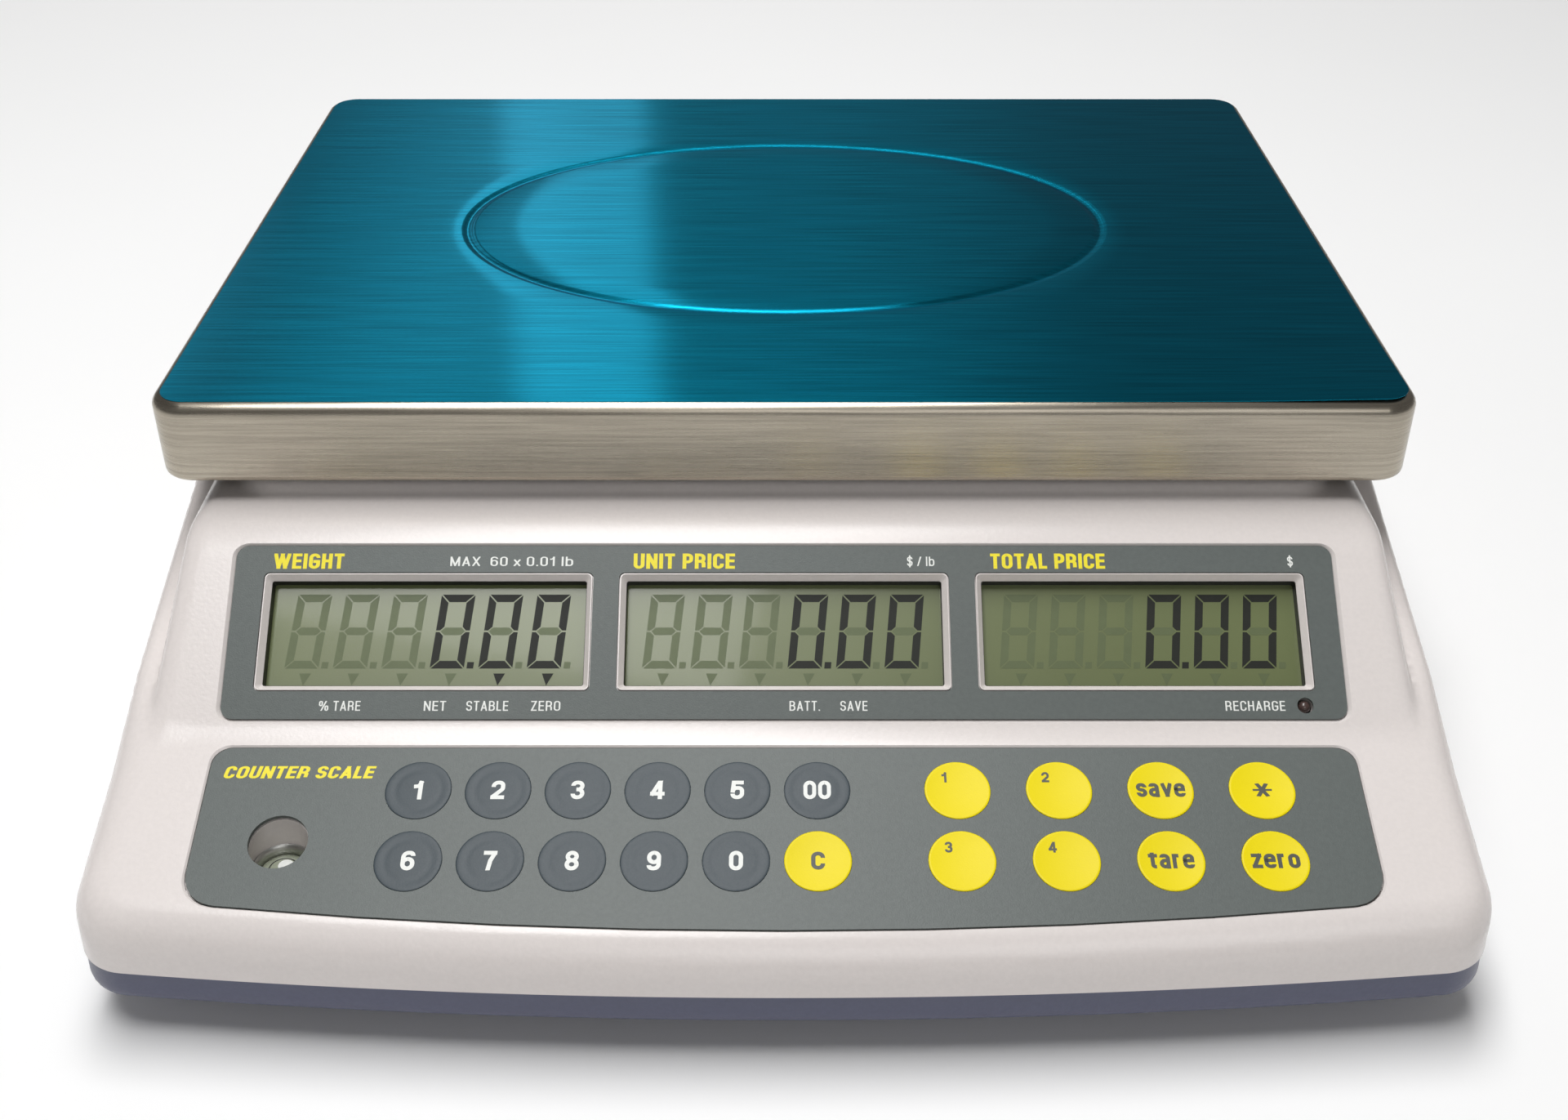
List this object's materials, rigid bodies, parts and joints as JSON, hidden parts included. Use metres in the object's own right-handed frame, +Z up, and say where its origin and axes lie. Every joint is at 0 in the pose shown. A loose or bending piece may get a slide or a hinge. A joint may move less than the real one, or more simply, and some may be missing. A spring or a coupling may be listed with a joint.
{
  "type": "counter scale",
  "caption": "Price computing counter scale: steel pan on a sprung load cell, sloping casing with front and rear liquid crystal displays, membrane keys and levelling feet.",
  "frame": {"origin": "middle of the footprint, at the level of the counter under the feet", "axes": "+X to the operator's right, +Y to the rear, +Z up"},
  "size_m": [0.318, 0.335, 0.1092],
  "materials": {
    "base_plastic": "satin moulded",
    "upper_plastic": "satin moulded, fine grain",
    "steel_plate": "zinc plated",
    "cell_aluminium": "machined",
    "cast_aluminium": "cast",
    "fasteners": "zinc plated",
    "cable_jacket": "smooth",
    "rubber": "matt",
    "stainless": "brushed",
    "film": "glossy film",
    "panel_grey": "fine matt",
    "key_grey": "satin",
    "key_yellow": "satin",
    "lcd": "glass front, olive",
    "circuit_board": "solder mask",
    "circuit_film": "clear film with printed tracks",
    "led": "clear tinted",
    "vial": "clear acrylic",
    "lens": "clear",
    "battery_case": "moulded",
    "black_plastic": "moulded",
    "connector_shell": "tin plated"
  },
  "bodies": {
    "root": {"base_housing": "base_plastic", "top_housing": "upper_plastic", "chassis_plate": "steel_plate", "load_cell": "cell_aluminium", "load_cell_spacer": "cell_aluminium", "load_cell_bolts": "fasteners", "load_cell_cable": "cable_jacket", "display_overlay": "panel_grey", "rear_overlay": "panel_grey", "lcd_weight": "lcd", "lcd_unit_price": "lcd", "lcd_total_price": "lcd", "rear_lcds": "lcd", "display_boards": "circuit_board", "charge_led": "led", "keypad_overlay": "panel_grey", "keypad_circuit": "circuit_film", "level_vial": "vial", "level_lens": "lens", "main_board": "circuit_board", "battery": "battery_case", "battery_cover": "base_plastic", "housing_screws": "fasteners", "power_switch_body": "black_plastic", "dc_jack": "black_plastic", "serial_port": "connector_shell"},
    "weighing_spider": {"spider": "cast_aluminium", "spider_bolts": "fasteners", "spider_bumpers": "rubber"},
    "pan": {"platter": "stainless", "protective_film": "film"},
    "rocker": {"power_rocker": "black_plastic"},
    "key_1": {"key_1": "key_grey"},
    "key_2": {"key_2": "key_grey"},
    "key_3": {"key_3": "key_grey"},
    "key_4": {"key_4": "key_grey"},
    "key_5": {"key_5": "key_grey"},
    "key_00": {"key_00": "key_grey"},
    "key_6": {"key_6": "key_grey"},
    "key_7": {"key_7": "key_grey"},
    "key_8": {"key_8": "key_grey"},
    "key_9": {"key_9": "key_grey"},
    "key_0": {"key_0": "key_grey"},
    "key_c": {"key_c": "key_yellow"},
    "key_m1": {"key_m1": "key_yellow"},
    "key_m2": {"key_m2": "key_yellow"},
    "key_save": {"key_save": "key_yellow"},
    "key_star": {"key_star": "key_yellow"},
    "key_m3": {"key_m3": "key_yellow"},
    "key_m4": {"key_m4": "key_yellow"},
    "key_tare": {"key_tare": "key_yellow"},
    "key_zero": {"key_zero": "key_yellow"},
    "foot_pad_front_left": {"foot_pad_front_left": "rubber"},
    "foot_stud_front_left": {"foot_stud_front_left": "fasteners"},
    "foot_pad_front_right": {"foot_pad_front_right": "rubber"},
    "foot_stud_front_right": {"foot_stud_front_right": "fasteners"},
    "foot_pad_rear_left": {"foot_pad_rear_left": "rubber"},
    "foot_stud_rear_left": {"foot_stud_rear_left": "fasteners"},
    "foot_pad_rear_right": {"foot_pad_rear_right": "rubber"},
    "foot_stud_rear_right": {"foot_stud_rear_right": "fasteners"}
  },
  "joints": [
    {"name": "weigh_deflection", "type": "slide", "parent": "root", "child": "weighing_spider", "axis": [0, 0, -1], "range_m": [0, 0.0005], "stiffness_N_per_m": 560000, "springref_m": -0.00003, "deforming": ["load_cell"]},
    {"name": "pan_lift", "type": "slide", "parent": "weighing_spider", "child": "pan", "axis": [0, 0, 1], "range_m": [0, 0.06]},
    {"name": "key_1_press", "type": "slide", "parent": "root", "child": "key_1", "axis": [0, 0.309, -0.9511], "range_m": [0, 0.0005], "stiffness_N_per_m": 3000, "springref_m": -0.00015},
    {"name": "key_2_press", "type": "slide", "parent": "root", "child": "key_2", "axis": [0, 0.309, -0.9511], "range_m": [0, 0.0005], "stiffness_N_per_m": 3000, "springref_m": -0.00015},
    {"name": "key_3_press", "type": "slide", "parent": "root", "child": "key_3", "axis": [0, 0.309, -0.9511], "range_m": [0, 0.0005], "stiffness_N_per_m": 3000, "springref_m": -0.00015},
    {"name": "key_4_press", "type": "slide", "parent": "root", "child": "key_4", "axis": [0, 0.309, -0.9511], "range_m": [0, 0.0005], "stiffness_N_per_m": 3000, "springref_m": -0.00015},
    {"name": "key_5_press", "type": "slide", "parent": "root", "child": "key_5", "axis": [0, 0.309, -0.9511], "range_m": [0, 0.0005], "stiffness_N_per_m": 3000, "springref_m": -0.00015},
    {"name": "key_00_press", "type": "slide", "parent": "root", "child": "key_00", "axis": [0, 0.309, -0.9511], "range_m": [0, 0.0005], "stiffness_N_per_m": 3000, "springref_m": -0.00015},
    {"name": "key_6_press", "type": "slide", "parent": "root", "child": "key_6", "axis": [0, 0.309, -0.9511], "range_m": [0, 0.0005], "stiffness_N_per_m": 3000, "springref_m": -0.00015},
    {"name": "key_7_press", "type": "slide", "parent": "root", "child": "key_7", "axis": [0, 0.309, -0.9511], "range_m": [0, 0.0005], "stiffness_N_per_m": 3000, "springref_m": -0.00015},
    {"name": "key_8_press", "type": "slide", "parent": "root", "child": "key_8", "axis": [0, 0.309, -0.9511], "range_m": [0, 0.0005], "stiffness_N_per_m": 3000, "springref_m": -0.00015},
    {"name": "key_9_press", "type": "slide", "parent": "root", "child": "key_9", "axis": [0, 0.309, -0.9511], "range_m": [0, 0.0005], "stiffness_N_per_m": 3000, "springref_m": -0.00015},
    {"name": "key_0_press", "type": "slide", "parent": "root", "child": "key_0", "axis": [0, 0.309, -0.9511], "range_m": [0, 0.0005], "stiffness_N_per_m": 3000, "springref_m": -0.00015},
    {"name": "key_c_press", "type": "slide", "parent": "root", "child": "key_c", "axis": [0, 0.309, -0.9511], "range_m": [0, 0.0005], "stiffness_N_per_m": 3000, "springref_m": -0.00015},
    {"name": "key_m1_press", "type": "slide", "parent": "root", "child": "key_m1", "axis": [0, 0.309, -0.9511], "range_m": [0, 0.0005], "stiffness_N_per_m": 3000, "springref_m": -0.00015},
    {"name": "key_m2_press", "type": "slide", "parent": "root", "child": "key_m2", "axis": [0, 0.309, -0.9511], "range_m": [0, 0.0005], "stiffness_N_per_m": 3000, "springref_m": -0.00015},
    {"name": "key_save_press", "type": "slide", "parent": "root", "child": "key_save", "axis": [0, 0.309, -0.9511], "range_m": [0, 0.0005], "stiffness_N_per_m": 3000, "springref_m": -0.00015},
    {"name": "key_star_press", "type": "slide", "parent": "root", "child": "key_star", "axis": [0, 0.309, -0.9511], "range_m": [0, 0.0005], "stiffness_N_per_m": 3000, "springref_m": -0.00015},
    {"name": "key_m3_press", "type": "slide", "parent": "root", "child": "key_m3", "axis": [0, 0.309, -0.9511], "range_m": [0, 0.0005], "stiffness_N_per_m": 3000, "springref_m": -0.00015},
    {"name": "key_m4_press", "type": "slide", "parent": "root", "child": "key_m4", "axis": [0, 0.309, -0.9511], "range_m": [0, 0.0005], "stiffness_N_per_m": 3000, "springref_m": -0.00015},
    {"name": "key_tare_press", "type": "slide", "parent": "root", "child": "key_tare", "axis": [0, 0.309, -0.9511], "range_m": [0, 0.0005], "stiffness_N_per_m": 3000, "springref_m": -0.00015},
    {"name": "key_zero_press", "type": "slide", "parent": "root", "child": "key_zero", "axis": [0, 0.309, -0.9511], "range_m": [0, 0.0005], "stiffness_N_per_m": 3000, "springref_m": -0.00015},
    {"name": "rocker_toggle", "type": "hinge", "parent": "root", "child": "rocker", "pos_m": [0.1536, 0.06, 0.046], "axis": [0, 0, 1], "range_deg": [0, 18]},
    {"name": "foot_front_left_height", "type": "slide", "parent": "root", "child": "foot_pad_front_left", "axis": [0, 0, -1], "range_m": [0, 0.008]},
    {"name": "foot_front_left_turn", "type": "hinge", "parent": "foot_pad_front_left", "child": "foot_stud_front_left", "pos_m": [-0.128, -0.112, 0.015], "axis": [0, 0, -1], "range_deg": [0, 2305]},
    {"name": "foot_front_right_height", "type": "slide", "parent": "root", "child": "foot_pad_front_right", "axis": [0, 0, -1], "range_m": [0, 0.008]},
    {"name": "foot_front_right_turn", "type": "hinge", "parent": "foot_pad_front_right", "child": "foot_stud_front_right", "pos_m": [0.128, -0.112, 0.015], "axis": [0, 0, -1], "range_deg": [0, 2305]},
    {"name": "foot_rear_left_height", "type": "slide", "parent": "root", "child": "foot_pad_rear_left", "axis": [0, 0, -1], "range_m": [0, 0.008]},
    {"name": "foot_rear_left_turn", "type": "hinge", "parent": "foot_pad_rear_left", "child": "foot_stud_rear_left", "pos_m": [-0.128, 0.13, 0.015], "axis": [0, 0, -1], "range_deg": [0, 2305]},
    {"name": "foot_rear_right_height", "type": "slide", "parent": "root", "child": "foot_pad_rear_right", "axis": [0, 0, -1], "range_m": [0, 0.008]},
    {"name": "foot_rear_right_turn", "type": "hinge", "parent": "foot_pad_rear_right", "child": "foot_stud_rear_right", "pos_m": [0.128, 0.13, 0.015], "axis": [0, 0, -1], "range_deg": [0, 2305]}
  ],
  "couplings": [
    {"joint": "foot_front_left_turn", "follows": "foot_front_left_height", "rad_per_m": 5026.5},
    {"joint": "foot_front_right_turn", "follows": "foot_front_right_height", "rad_per_m": 5026.5},
    {"joint": "foot_rear_left_turn", "follows": "foot_rear_left_height", "rad_per_m": 5026.5},
    {"joint": "foot_rear_right_turn", "follows": "foot_rear_right_height", "rad_per_m": 5026.5}
  ]
}
